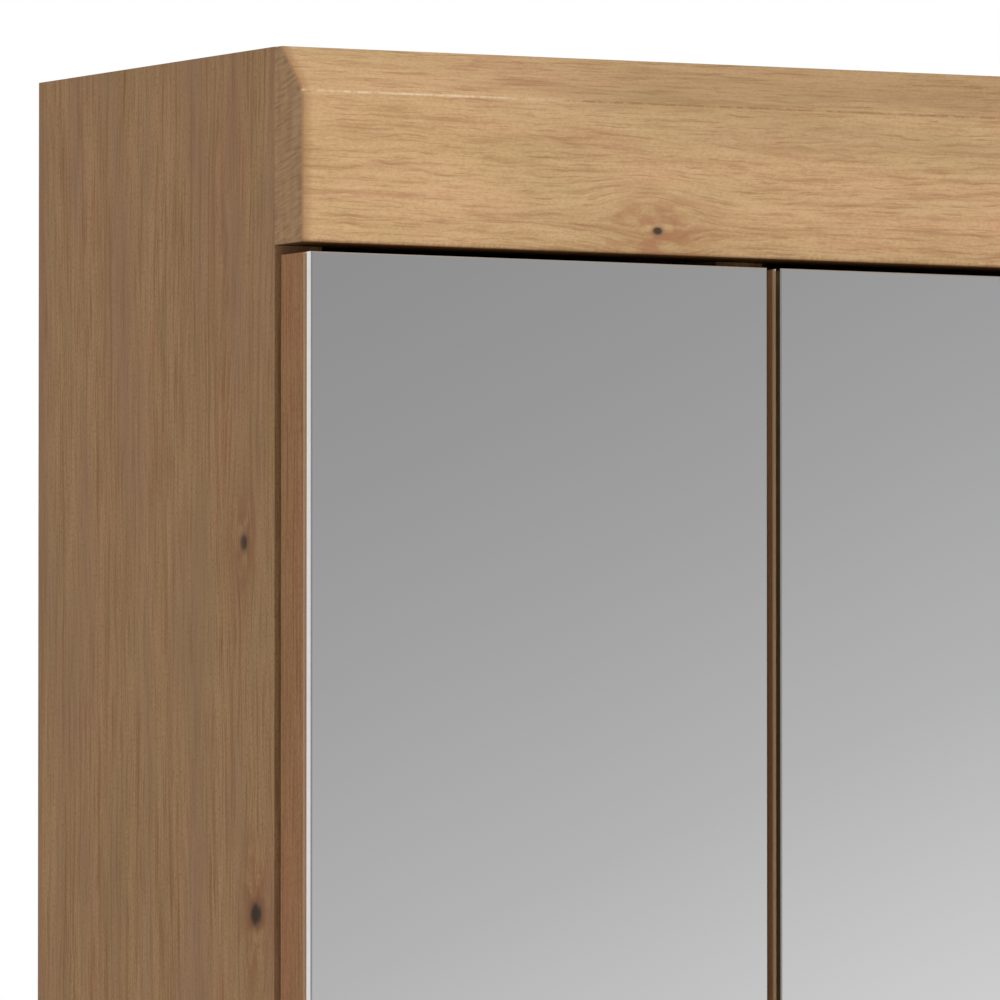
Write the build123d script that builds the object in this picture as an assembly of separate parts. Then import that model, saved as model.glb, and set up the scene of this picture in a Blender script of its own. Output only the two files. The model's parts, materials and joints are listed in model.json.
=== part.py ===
"""Wall cabinet with three mirror doors, oak boards and a chamfered fascia.

Millimetres. +X to the right, +Y towards the wall, +Z up.
The origin is the centre of the carcass's flat back face.
"""
from build123d import *
import os

# ---- driving dimensions -----------------------------------------------------
WIDTH = 720.0
CARCASS_HEIGHT = 778.0
CARCASS_DEPTH = 158.0
BOARD = 16.0
BACK_THICKNESS = 3.0
BACK_LAP = 8.0                # how far the back panel laps into each board's rebate
FASCIA_THICKNESS = 17.6
FASCIA_HEIGHT = 60.0
FASCIA_CHAMFER = 14.0
FASCIA_CREASE_RADIUS = 6.5    # where the chamfer turns into the front face
FASCIA_SOFT_EDGE = 1.2
FASCIA_END_SOFT_EDGE = 0.8
DOOR_INSET = 1.0              # outer door edge to the carcass's outer face
DOOR_TO_FASCIA = 3.0
DOOR_TO_DOOR = 4.5
DOOR_TO_CARCASS = 2.3
DOOR_OVERHANG = 12.0          # finger grip below the carcass
DOOR_SOFT_EDGE = 0.8          # around the front of each door's board
SIDE_DOOR_WIDTH = 156.1
GLASS = 3.0
ADHESIVE = 0.7
ADHESIVE_INSET = 1.5
SHELF_CLEARANCE = 1.0
SHELF_SETBACK = 8.0
SHELF_LEVELS = {"lower": -130.0, "upper": 130.0}
PIN_PITCH = 32.0
PIN_HOLES_EACH_WAY = 2
PIN_HOLE_RADIUS = 2.5
PIN_HOLE_DEPTH = 10.0
PIN_RADIUS = 2.45
PIN_LENGTH = 15.0
PIN_SEAT = 7.5                # how far a pin goes into its hole
ROW_SETBACK = 37.0            # pin rows and hinge screws, from a board's front or back edge
CAM_RADIUS = 7.5
CAM_DEPTH = 12.5
CAM_INSET = 34.0
CAM_SLOT = (9.0, 1.6, 3.0)
CAM_BOLT_RADIUS = 3.0
JOINT_DEPTH = 11.0            # how far cam bolts and dowels go into the side panels
DOWEL_RADIUS = 4.0
DOWEL_LENGTH = 35.0
DOWEL_ROWS = (-72.0, -96.0)
BACK_SCREW_LEVELS = (-300.0, -150.0, 0.0, 150.0, 300.0)

# ---- screws: shank radius, length, head radius, head height -------------------
CONFIRMAT = (3.2, 50.0, 5.0, 4.0)
BACK_SCREW = (1.5, 16.0, 3.0, 1.6)
FASCIA_SCREW = (1.6, 15.0, 3.4, 1.9)
WALL_BRACKET_SCREW = (1.9, 15.0, 3.9, 2.2)
PLATE_SCREW = (1.9, 13.5, 3.9, 2.2)
CUP_SCREW = (1.6, 13.0, 3.4, 1.9)

# ---- brackets -------------------------------------------------------------------
FASCIA_BRACKET_X = (-276.0, -100.0, 100.0, 276.0)
BRACKET_LEG = 30.0
BRACKET_STEEL = 2.0
BRACKET_HALF_WIDTH = 10.0
BRACKET_SCREW_OUT = 18.0      # from the bracket's corner
WALL_BRACKET_LOW = 300.0
WALL_BRACKET_HIGH = 350.0
WALL_BRACKET_LEG = 42.0
WALL_BRACKET_STEEL = 2.5
WALL_BRACKET_SCREWS = ((-20.0, 312.0), (-36.0, 338.0))
WALL_HOLE_INSET = 22.0
WALL_HOLE_RADIUS = 3.5

# ---- hinge, in a plan measured from the door's hinge edge --------------------
# u runs from the door's hinge edge towards its free edge, v from the glass front
# towards the wall.
HINGE_LEVELS = (236.0, -311.0)
CUP_CENTRE_U = 22.5
CUP_RADIUS = 17.5
CUP_WALL = 0.8
CUP_DEPTH = 12.8
CUP_FLANGE = 1.0
FLANGE_RADIUS = 19.0
CUP_SCREW_U = 32.0
CUP_SCREW_RISE = 22.5
CUP_EAR = 6.0                 # half width of the flange around each screw
ARM_PIVOT = (29.6, 11.0)      # link pin carried by the arm
CUP_PIVOT = (12.8, 11.6)      # link pin carried by the cup
PIVOT_PIN_RADIUS = 1.25
PIVOT_CLEARANCE = 0.05
LINK_EYE_RADIUS = 2.6
LINK_HALF_WIDTH = 4.4
LINK_THICKNESS = 2.0
LINK_BOW = 1.7
CHEEK_INNER = 5.4
CHEEK_OUTER = 6.6
NOSE_RADIUS = 2.9
ARM_HEIGHT = 11.0
ARM_WALL = 1.5
NECK_START = 4.0              # where the arm starts to widen, from the carcass front
NECK_UNDERSIDE_RUN = 12.0
NECK_OUTSIDE_START = 2.0
NECK_OUTSIDE_RUN = 13.0
ARM_END_V = 78.0
ARM_SCREWS = ((8.0, 3.6), (28.0, 2.8))     # distance from the arm's end, head radius
ARM_SCREW_HEIGHT = 1.8
ARM_SCREW_SLOT = (2.0, 1.0)
PLATE_HEIGHT = 5.0
PLATE_FRONT = 17.0            # from its screws to its front end
PLATE_BEYOND_ARM = 4.0
WING_HEIGHT = 2.5
WING_HALF_DEPTH = 7.0
WING_BEYOND_SCREW = 6.0
PLATE_SCREW_RISE = 16.0

# ---- bumper dots on each door's back --------------------------------------------
BUMPER_RADIUS = 4.0
BUMPER_HEIGHT = 1.9
BUMPER_SOFT_EDGE = 1.2
BUMPER_INSET = 4.2
BUMPER_FROM_END = 24.0

# ---- worked out --------------------------------------------------------------
SIDE = WIDTH / 2
TOP = CARCASS_HEIGHT / 2
INNER_SIDE = SIDE - BOARD
INNER_TOP = TOP - BOARD
FRONT = -CARCASS_DEPTH
FASCIA_BOTTOM = TOP - FASCIA_HEIGHT
DOOR_TOP = FASCIA_BOTTOM - DOOR_TO_FASCIA
DOOR_BOTTOM = -TOP - DOOR_OVERHANG
DOOR_BACK = FRONT - DOOR_TO_CARCASS
DOOR_BOARD_FRONT = DOOR_BACK - BOARD
GLASS_BACK = DOOR_BOARD_FRONT - ADHESIVE
GLASS_FRONT = GLASS_BACK - GLASS
HINGE_EDGE = SIDE - DOOR_INSET
CENTRE_DOOR_EDGE = HINGE_EDGE - SIDE_DOOR_WIDTH - DOOR_TO_DOOR
PARTITION_CENTRE = CENTRE_DOOR_EDGE + DOOR_TO_DOOR / 2
PARTITION_INNER = PARTITION_CENTRE - BOARD / 2
PARTITION_OUTER = PARTITION_CENTRE + BOARD / 2
PIN_ROWS = (FRONT + ROW_SETBACK, -ROW_SETBACK - BACK_THICKNESS)
DOOR_BACK_V = DOOR_BACK - GLASS_FRONT
CARCASS_FRONT_V = FRONT - GLASS_FRONT
ALIGN_START = (Align.CENTER, Align.CENTER, Align.MIN)

# Each door: its hinge edge, the direction from there to its free edge, its width,
# and how far the board that carries its hinges stands in from that edge.
DOORS = {
    "left": (-HINGE_EDGE, 1, SIDE_DOOR_WIDTH, HINGE_EDGE - INNER_SIDE),
    "centre": (-CENTRE_DOOR_EDGE, 1, 2 * CENTRE_DOOR_EDGE, CENTRE_DOOR_EDGE - PARTITION_INNER),
    "right": (HINGE_EDGE, -1, SIDE_DOOR_WIDTH, HINGE_EDGE - INNER_SIDE),
}


# ---- helpers -----------------------------------------------------------------
def block(x0, x1, y0, y1, z0, z1):
    """A box between two corners, given in any order along X."""
    centre = ((x0 + x1) / 2, (y0 + y1) / 2, (z0 + z1) / 2)
    return Pos(*centre) * Box(abs(x1 - x0), abs(y1 - y0), abs(z1 - z0))


def rod(start, direction, radius, length):
    """A round bar that starts at a point and runs along a direction."""
    return Plane(origin=start, z_dir=direction) * Cylinder(radius, length, align=ALIGN_START)


class Screw:
    """A countersunk cross-recess screw: its flat head is at start, its tip along direction."""

    def __init__(self, start, direction, shank_radius, length, head_radius, head_height):
        self.plane = Plane(origin=start, z_dir=direction)
        self.shank_radius = shank_radius
        self.length = length
        self.head_radius = head_radius
        self.head_height = head_height

    def hole(self):
        """The screw's full outline, to cut from what it is driven into."""
        radius, height = self.shank_radius, self.head_height
        head = Cone(self.head_radius, radius, height, align=ALIGN_START)
        shank = Pos(0, 0, height) * Cylinder(radius, self.length - height - radius, align=ALIGN_START)
        tip = Pos(0, 0, self.length - radius) * Cone(radius, radius / 4, radius, align=ALIGN_START)
        return self.plane * (head + shank + tip)

    def solid(self):
        """The screw itself, with its cross recess."""
        slot = Box(self.head_radius, self.head_radius / 4, self.head_height, align=ALIGN_START)
        recess = Pos(0, 0, -self.head_height / 2) * (slot + Rot(0, 0, 90) * slot)
        return self.hole() - self.plane * recess


def holes(screws):
    return [screw.hole() for screw in screws]


def solids(screws):
    return [screw.solid() for screw in screws]


def write(name, pieces):
    """Write one node, from one solid or a list of separate solids."""
    shape = Compound(children=pieces) if isinstance(pieces, list) else pieces
    export_step(shape, f"parts/{name}.step")


# ---- fasteners of the carcass --------------------------------------------------
def make_cam_housings():
    """Round cam locks let into the top and bottom boards, beside each end."""
    return {(side, y, level): rod((side * (INNER_SIDE - CAM_INSET), y, level * INNER_TOP),
                                  (0, 0, level), CAM_RADIUS, CAM_DEPTH)
            for level in (-1, 1) for side in (-1, 1) for y in PIN_ROWS}


def make_cam_locks(housings, bolts):
    """The cam locks, with the slot that turns them and the hole that each bolt ends in."""
    return [body - bolts - Pos(side * (INNER_SIDE - CAM_INSET), y, level * INNER_TOP) * Box(*CAM_SLOT)
            for (side, y, level), body in housings.items()]


def make_cam_bolts():
    """Bolts from each side panel into the cam locks."""
    length = JOINT_DEPTH + CAM_INSET - CAM_RADIUS / 2
    return [rod((side * (INNER_SIDE + JOINT_DEPTH), y, level * (TOP - BOARD / 2)), (-side, 0, 0),
                CAM_BOLT_RADIUS, length)
            for level in (-1, 1) for side in (-1, 1) for y in PIN_ROWS]


def make_dowels():
    """Wooden dowels between the side panels and the top and bottom boards."""
    return [rod((side * (INNER_SIDE + JOINT_DEPTH), y, level * (TOP - BOARD / 2)), (-side, 0, 0),
                DOWEL_RADIUS, DOWEL_LENGTH)
            for level in (-1, 1) for side in (-1, 1) for y in DOWEL_ROWS]


def make_confirmat_screws():
    """Long screws through the top and bottom boards into the partitions."""
    return [Screw((side * PARTITION_CENTRE, y, level * TOP), (0, 0, -level), *CONFIRMAT)
            for level in (-1, 1) for side in (-1, 1) for y in PIN_ROWS]


def make_back_screws():
    """Small screws that hold the back panel to the side panels and partitions."""
    return [Screw((side * x, 0, z), (0, -1, 0), *BACK_SCREW)
            for side in (-1, 1) for x in (INNER_SIDE + BACK_LAP / 2, PARTITION_CENTRE)
            for z in BACK_SCREW_LEVELS]


# ---- carcass ---------------------------------------------------------------------
def pin_holes(face_x, towards):
    """Shelf-pin holes drilled into a board's face, from face_x along X."""
    return [rod((face_x, y, level + step * PIN_PITCH - BOARD / 2 - PIN_RADIUS), (towards, 0, 0),
                PIN_HOLE_RADIUS, PIN_HOLE_DEPTH)
            for y in PIN_ROWS for level in SHELF_LEVELS.values()
            for step in range(-PIN_HOLES_EACH_WAY, PIN_HOLES_EACH_WAY + 1)]


def make_side_panel(side, fasteners):
    panel = block(side * INNER_SIDE, side * SIDE, FRONT, 0, -TOP, TOP)
    rebate = block(side * INNER_SIDE, side * (INNER_SIDE + BACK_LAP), -BACK_THICKNESS, 0,
                   -INNER_TOP - BACK_LAP, INNER_TOP + BACK_LAP)
    return panel - rebate - pin_holes(side * INNER_SIDE, side) - fasteners


def make_end_board(level, fasteners):
    """The top (+1) or bottom (-1) board, between the side panels."""
    board = block(-INNER_SIDE, INNER_SIDE, FRONT, 0, min(level * INNER_TOP, level * TOP),
                  max(level * INNER_TOP, level * TOP))
    rebate = Pos(0, -BACK_THICKNESS / 2, level * (INNER_TOP + BACK_LAP / 2)) * Box(
        2 * INNER_SIDE, BACK_THICKNESS, BACK_LAP)
    return board - rebate - fasteners


def make_partition(side, fasteners):
    """An upright between two doors, drilled for the shelf pins from both faces."""
    board = block(side * PARTITION_INNER, side * PARTITION_OUTER, FRONT, -BACK_THICKNESS,
                  -INNER_TOP, INNER_TOP)
    inner = pin_holes(side * PARTITION_INNER, side)
    outer = pin_holes(side * PARTITION_OUTER, -side)
    return board - inner - outer - fasteners


def make_back_panel(fasteners, wall_holes):
    lap = BACK_LAP
    panel = block(-INNER_SIDE - lap, INNER_SIDE + lap, -BACK_THICKNESS, 0,
                  -INNER_TOP - lap, INNER_TOP + lap)
    return panel - fasteners - wall_holes


def make_fascia(fasteners):
    """The board above the doors, with a wide chamfer and softly rounded edges."""
    front = FRONT - FASCIA_THICKNESS
    outline = Polyline((FRONT, FASCIA_BOTTOM), (front, FASCIA_BOTTOM), (front, TOP - FASCIA_CHAMFER),
                       (front + FASCIA_CHAMFER, TOP), (FRONT, TOP), close=True)
    section = make_face(Plane.YZ * outline)
    board = extrude(section, amount=SIDE, both=True)
    for corner_y, corner_z, radius in ((front, FASCIA_BOTTOM, FASCIA_SOFT_EDGE),
                                       (front + FASCIA_CHAMFER, TOP, FASCIA_SOFT_EDGE),
                                       (front, TOP - FASCIA_CHAMFER, FASCIA_CREASE_RADIUS)):
        edge = board.edges().filter_by(Axis.X).sort_by_distance((0, corner_y, corner_z))[0]
        board = fillet(edge, radius)
    ends = [edge for face in (board.faces().sort_by(Axis.X)[0], board.faces().sort_by(Axis.X)[-1])
            for edge in face.edges() if edge.center().Y < FRONT - FASCIA_END_SOFT_EDGE]
    return fillet(ends, FASCIA_END_SOFT_EDGE) - fasteners


def make_shelf(x0, x1, level):
    return block(x0 + SHELF_CLEARANCE, x1 - SHELF_CLEARANCE, FRONT + SHELF_SETBACK,
                 -BACK_THICKNESS - SHELF_CLEARANCE, level - BOARD / 2, level + BOARD / 2)


def make_shelf_pins():
    """Four steel pins under each shelf."""
    pins = []
    faces = [(-INNER_SIDE, 1), (-PARTITION_OUTER, -1), (-PARTITION_INNER, 1),
             (PARTITION_INNER, -1), (PARTITION_OUTER, 1), (INNER_SIDE, -1)]
    for face_x, outwards in faces:
        for y in PIN_ROWS:
            for level in SHELF_LEVELS.values():
                z = level - BOARD / 2 - PIN_RADIUS
                start = (face_x - outwards * PIN_SEAT, y, z)
                pins.append(rod(start, (outwards, 0, 0), PIN_RADIUS, PIN_LENGTH))
    return pins


# ---- brackets and their screws ---------------------------------------------------------
def make_fascia_bracket_screws():
    """Two screws for each bracket: up into the top board and forwards into the fascia."""
    screws = []
    for x in FASCIA_BRACKET_X:
        under = (x, FRONT + BRACKET_SCREW_OUT, INNER_TOP - BRACKET_STEEL)
        behind = (x, FRONT + BRACKET_STEEL, INNER_TOP - BRACKET_SCREW_OUT)
        screws.append(Screw(under, (0, 0, 1), *FASCIA_SCREW))
        screws.append(Screw(behind, (0, -1, 0), *FASCIA_SCREW))
    return screws


def make_fascia_bracket(x, screws):
    """An angle bracket between the top board's underside and the fascia's back."""
    left, right = x - BRACKET_HALF_WIDTH, x + BRACKET_HALF_WIDTH
    level_leg = block(left, right, FRONT, FRONT + BRACKET_LEG, INNER_TOP - BRACKET_STEEL, INNER_TOP)
    upright_leg = block(left, right, FRONT, FRONT + BRACKET_STEEL, INNER_TOP - BRACKET_LEG, INNER_TOP)
    return level_leg + upright_leg - holes(screws)


def make_wall_holes():
    """Clear holes for the wall screws, through the wall brackets and the back panel."""
    z = (WALL_BRACKET_LOW + WALL_BRACKET_HIGH) / 2
    return [rod((side * (INNER_SIDE - WALL_HOLE_INSET), 1, z), (0, -1, 0), WALL_HOLE_RADIUS, 10)
            for side in (-1, 1)]


def make_wall_bracket_screws():
    """Screws through each wall bracket into its side panel."""
    x = INNER_SIDE - WALL_BRACKET_STEEL
    return [Screw((side * x, y, z), (side, 0, 0), *WALL_BRACKET_SCREW)
            for side in (-1, 1) for y, z in WALL_BRACKET_SCREWS]


def make_wall_bracket(side, screws, wall_holes):
    """A steel angle in an upper back corner, screwed to the side panel and to the wall."""
    inner = side * (INNER_SIDE - WALL_BRACKET_STEEL)
    side_leg = block(inner, side * INNER_SIDE, -BACK_THICKNESS - WALL_BRACKET_LEG, -BACK_THICKNESS,
                     WALL_BRACKET_LOW, WALL_BRACKET_HIGH)
    back_leg = block(side * (INNER_SIDE - WALL_BRACKET_LEG), side * INNER_SIDE,
                     -BACK_THICKNESS - WALL_BRACKET_STEEL, -BACK_THICKNESS,
                     WALL_BRACKET_LOW, WALL_BRACKET_HIGH)
    return side_leg + back_leg - holes(screws) - wall_holes


# ---- doors ---------------------------------------------------------------------------
def place(door, u, v, z=0.0):
    """A point of the hinge plan, in the cabinet's own coordinates."""
    edge, inward, _, _ = DOORS[door]
    return (edge + inward * u, GLASS_FRONT + v, z)


def plan_block(door, u0, u1, v0, v1, z0, z1):
    x0, y0, _ = place(door, u0, v0)
    x1, y1, _ = place(door, u1, v1)
    return block(x0, x1, y0, y1, z0, z1)


def plan_prism(door, points, level, half_width):
    """An outline in the hinge plan, extruded up and down from a level."""
    outline = Polyline(*[place(door, u, v, level) for u, v in points], close=True)
    return extrude(make_face(outline), amount=half_width, dir=(0, 0, 1), both=True)


def plan_pin(door, pivot, level, radius, half_length):
    return rod(place(door, *pivot, level - half_length), (0, 0, 1), radius, 2 * half_length)


def make_cup_screws(door, level):
    inset = DOOR_BACK_V + CUP_FLANGE
    return [Screw(place(door, CUP_SCREW_U, inset, level + rise), (0, -1, 0), *CUP_SCREW)
            for rise in (-CUP_SCREW_RISE, CUP_SCREW_RISE)]


def make_hinge_cup(door, level, screws):
    """A pressed cup with a flange on the door's back and two ears that hold the link pin."""
    floor_v = DOOR_BACK_V - CUP_DEPTH
    outer = rod(place(door, CUP_CENTRE_U, floor_v, level), (0, 1, 0), CUP_RADIUS, CUP_DEPTH)
    flange = rod(place(door, CUP_CENTRE_U, DOOR_BACK_V, level), (0, 1, 0), FLANGE_RADIUS, CUP_FLANGE)
    wing_rise = CUP_SCREW_RISE + CUP_EAR
    wings = plan_block(door, CUP_SCREW_U - CUP_EAR, CUP_SCREW_U + CUP_EAR, DOOR_BACK_V,
                       DOOR_BACK_V + CUP_FLANGE, level - wing_rise, level + wing_rise)
    hollow = rod(place(door, CUP_CENTRE_U, floor_v + CUP_WALL, level), (0, 1, 0),
                 CUP_RADIUS - CUP_WALL, CUP_DEPTH + 2 * CUP_FLANGE)
    cup = outer + flange + wings - hollow
    u, v = CUP_PIVOT
    for sign in (-1, 1):
        z0, z1 = sorted((level + sign * CHEEK_INNER, level + sign * CHEEK_OUTER))
        cup += plan_block(door, u - LINK_EYE_RADIUS, u + LINK_EYE_RADIUS, floor_v + CUP_WALL / 2,
                          v + LINK_EYE_RADIUS, z0, z1)
    return cup - holes(screws) - plan_pin(door, CUP_PIVOT, level, PIVOT_PIN_RADIUS, CHEEK_OUTER)


def make_link(door, level):
    """The bowed link that joins the arm's nose to the cup."""
    (au, av), (cu, cv) = ARM_PIVOT, CUP_PIVOT
    middle = ((au + cu) / 2, (av + cv) / 2 - LINK_BOW)
    rail = ThreePointArc(place(door, au, av, level), place(door, *middle, level),
                         place(door, cu, cv, level))
    link = extrude(make_face(offset(rail, amount=LINK_THICKNESS / 2)), amount=LINK_HALF_WIDTH,
                   dir=(0, 0, 1), both=True)
    for pivot in (ARM_PIVOT, CUP_PIVOT):
        link += plan_pin(door, pivot, level, LINK_EYE_RADIUS, LINK_HALF_WIDTH)
    for pivot in (ARM_PIVOT, CUP_PIVOT):
        link -= plan_pin(door, pivot, level, PIVOT_PIN_RADIUS + PIVOT_CLEARANCE, LINK_HALF_WIDTH)
    return link


def make_hinge_arm(door, level):
    """The arm: a channel over the plate that necks down to a forked nose."""
    stand = DOORS[door][3]
    low, high = stand + PLATE_HEIGHT, stand + PLATE_HEIGHT + ARM_HEIGHT
    nose_u, nose_v = ARM_PIVOT
    neck_v = CARCASS_FRONT_V + NECK_START
    bend_v = neck_v + NECK_OUTSIDE_START
    shoulder_v = bend_v + NECK_OUTSIDE_RUN
    outline = [(low, ARM_END_V), (low, neck_v + NECK_UNDERSIDE_RUN), (nose_u - NOSE_RADIUS, neck_v),
               (nose_u - NOSE_RADIUS, nose_v), (nose_u + NOSE_RADIUS, nose_v),
               (nose_u + NOSE_RADIUS, bend_v), (high, shoulder_v), (high, ARM_END_V)]
    arm = plan_prism(door, outline, level, CHEEK_OUTER)
    arm += plan_pin(door, ARM_PIVOT, level, NOSE_RADIUS, CHEEK_OUTER)
    fork = plan_block(door, nose_u - 2 * NOSE_RADIUS, nose_u + 2 * NOSE_RADIUS,
                      nose_v - 2 * NOSE_RADIUS, nose_v + 2.6 * NOSE_RADIUS,
                      level - CHEEK_INNER, level + CHEEK_INNER)
    channel = plan_block(door, low - ARM_WALL, high - ARM_WALL, shoulder_v + ARM_WALL / 2,
                         ARM_END_V + ARM_WALL, level - CHEEK_INNER, level + CHEEK_INNER)
    return arm - fork - channel - plan_pin(door, ARM_PIVOT, level, PIVOT_PIN_RADIUS, CHEEK_OUTER)


def make_plate_screws(door, level):
    _, inward, _, stand = DOORS[door]
    v = CARCASS_FRONT_V + ROW_SETBACK
    return [Screw(place(door, stand + WING_HEIGHT, v, level + rise), (-inward, 0, 0), *PLATE_SCREW)
            for rise in (-PLATE_SCREW_RISE, PLATE_SCREW_RISE)]


def make_hinge_plate(door, level, screws):
    """The mounting plate on the board's face, with two screw wings."""
    stand = DOORS[door][3]
    middle_v = CARCASS_FRONT_V + ROW_SETBACK
    spine = plan_block(door, stand, stand + PLATE_HEIGHT, middle_v - PLATE_FRONT,
                       ARM_END_V + PLATE_BEYOND_ARM, level - CHEEK_INNER, level + CHEEK_INNER)
    wing_rise = PLATE_SCREW_RISE + WING_BEYOND_SCREW
    wings = plan_block(door, stand, stand + WING_HEIGHT, middle_v - WING_HALF_DEPTH,
                       middle_v + WING_HALF_DEPTH, level - wing_rise, level + wing_rise)
    return spine + wings - holes(screws)


def make_arm_screws(door, level):
    """The clamp screw and the side-adjusting screw on the arm's back."""
    _, inward, _, stand = DOORS[door]
    top = stand + PLATE_HEIGHT + ARM_HEIGHT
    slot_depth, slot_width = ARM_SCREW_SLOT
    screws = []
    for from_end, radius in ARM_SCREWS:
        v = ARM_END_V - from_end
        head = rod(place(door, top, v, level), (inward, 0, 0), radius, ARM_SCREW_HEIGHT)
        upright = Box(slot_depth, slot_width, radius * 1.5)
        across = Box(slot_depth, radius * 1.5, slot_width)
        screws.append(head - Pos(*place(door, top + ARM_SCREW_HEIGHT, v, level)) * (upright + across))
    return screws


def make_door(door):
    """The door's board, mirror, adhesive and bumpers."""
    _, _, width, _ = DOORS[door]
    glass_v, board_v = GLASS, GLASS + ADHESIVE
    inset = ADHESIVE_INSET
    mirror = plan_block(door, 0, width, 0, glass_v, DOOR_BOTTOM, DOOR_TOP)
    adhesive = plan_block(door, inset, width - inset, glass_v, board_v, DOOR_BOTTOM + inset,
                          DOOR_TOP - inset)
    board = plan_block(door, 0, width, board_v, DOOR_BACK_V, DOOR_BOTTOM, DOOR_TOP)
    board = fillet(board.faces().sort_by(Axis.Y)[0].edges(), DOOR_SOFT_EDGE)
    floor_v = DOOR_BACK_V - CUP_DEPTH
    for level in HINGE_LEVELS:
        board -= rod(place(door, CUP_CENTRE_U, floor_v, level), (0, 1, 0), CUP_RADIUS, CUP_DEPTH)
        board -= holes(make_cup_screws(door, level))
    bumpers = []
    for level in (DOOR_TOP - BUMPER_FROM_END, BUMPER_FROM_END - TOP):
        foot = place(door, width - BUMPER_INSET, DOOR_BACK_V, level)
        pad = rod(foot, (0, 1, 0), BUMPER_RADIUS, BUMPER_HEIGHT)
        bumpers.append(fillet(pad.edges().sort_by(Axis.Y)[-1], BUMPER_SOFT_EDGE))
    return board, mirror, adhesive, bumpers


# ---- write every node ------------------------------------------------------------------
os.makedirs("parts", exist_ok=True)

cam_housings = make_cam_housings()
cam_bolts = make_cam_bolts()
dowels = make_dowels()
confirmat_screws = make_confirmat_screws()
back_screws = make_back_screws()
fascia_screws = make_fascia_bracket_screws()
wall_screws = make_wall_bracket_screws()
wall_holes = make_wall_holes()
plate_screws = {door: [s for level in HINGE_LEVELS for s in make_plate_screws(door, level)]
                for door in DOORS}
all_plate_screws = [s for group in plate_screws.values() for s in group]

corner_joints = cam_bolts + dowels
end_joints = corner_joints + list(cam_housings.values()) + holes(confirmat_screws)
side_holes = corner_joints + holes(back_screws + wall_screws + all_plate_screws)
write("side_panel_left", make_side_panel(-1, side_holes))
write("side_panel_right", make_side_panel(1, side_holes))
write("top_panel", make_end_board(1, end_joints + holes(fascia_screws)))
write("bottom_panel", make_end_board(-1, end_joints))
write("partition_left", make_partition(-1, holes(confirmat_screws + back_screws + all_plate_screws)))
write("partition_right", make_partition(1, holes(confirmat_screws + back_screws)))
write("back_panel", make_back_panel(holes(back_screws), wall_holes))
write("fascia", make_fascia(holes(fascia_screws)))

columns = {"left": (-INNER_SIDE, -PARTITION_OUTER), "centre": (-PARTITION_INNER, PARTITION_INNER),
           "right": (PARTITION_OUTER, INNER_SIDE)}
for column, (x0, x1) in columns.items():
    for name, level in SHELF_LEVELS.items():
        write(f"shelf_{column}_{name}", make_shelf(x0, x1, level))
write("shelf_pins", make_shelf_pins())

write("cam_locks", make_cam_locks(cam_housings, cam_bolts))
write("cam_bolts", cam_bolts)
write("dowels", dowels)
write("confirmat_screws", solids(confirmat_screws))
write("back_panel_screws", solids(back_screws))
write("fascia_brackets", [make_fascia_bracket(x, fascia_screws) for x in FASCIA_BRACKET_X])
write("fascia_bracket_screws", solids(fascia_screws))
write("wall_bracket_left", make_wall_bracket(-1, wall_screws, wall_holes))
write("wall_bracket_right", make_wall_bracket(1, wall_screws, wall_holes))
write("wall_bracket_screws", solids(wall_screws))
write("hinge_plate_screws", solids(all_plate_screws))
write("hinge_arm_screws", [s for door in DOORS for level in HINGE_LEVELS
                           for s in make_arm_screws(door, level)])
write("hinge_arm_pins", [plan_pin(door, ARM_PIVOT, level, PIVOT_PIN_RADIUS, CHEEK_OUTER)
                         for door in DOORS for level in HINGE_LEVELS])

for door in DOORS:
    board, mirror, adhesive, bumpers = make_door(door)
    write(f"door_board_{door}", board)
    write(f"door_mirror_{door}", mirror)
    write(f"mirror_adhesive_{door}", adhesive)
    write(f"door_bumpers_{door}", bumpers)
    cup_screws = [s for level in HINGE_LEVELS for s in make_cup_screws(door, level)]
    write(f"hinge_cup_screws_{door}", solids(cup_screws))
    write(f"hinge_cups_{door}", [make_hinge_cup(door, level, cup_screws) for level in HINGE_LEVELS])
    write(f"hinge_cup_pins_{door}", [plan_pin(door, CUP_PIVOT, level, PIVOT_PIN_RADIUS, CHEEK_OUTER)
                                     for level in HINGE_LEVELS])
    write(f"hinge_links_{door}", [make_link(door, level) for level in HINGE_LEVELS])
    write(f"hinge_arms_{door}", [make_hinge_arm(door, level) for level in HINGE_LEVELS])
    write(f"hinge_plates_{door}", [make_hinge_plate(door, level, plate_screws[door])
                                   for level in HINGE_LEVELS])
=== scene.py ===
import json
import math

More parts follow.
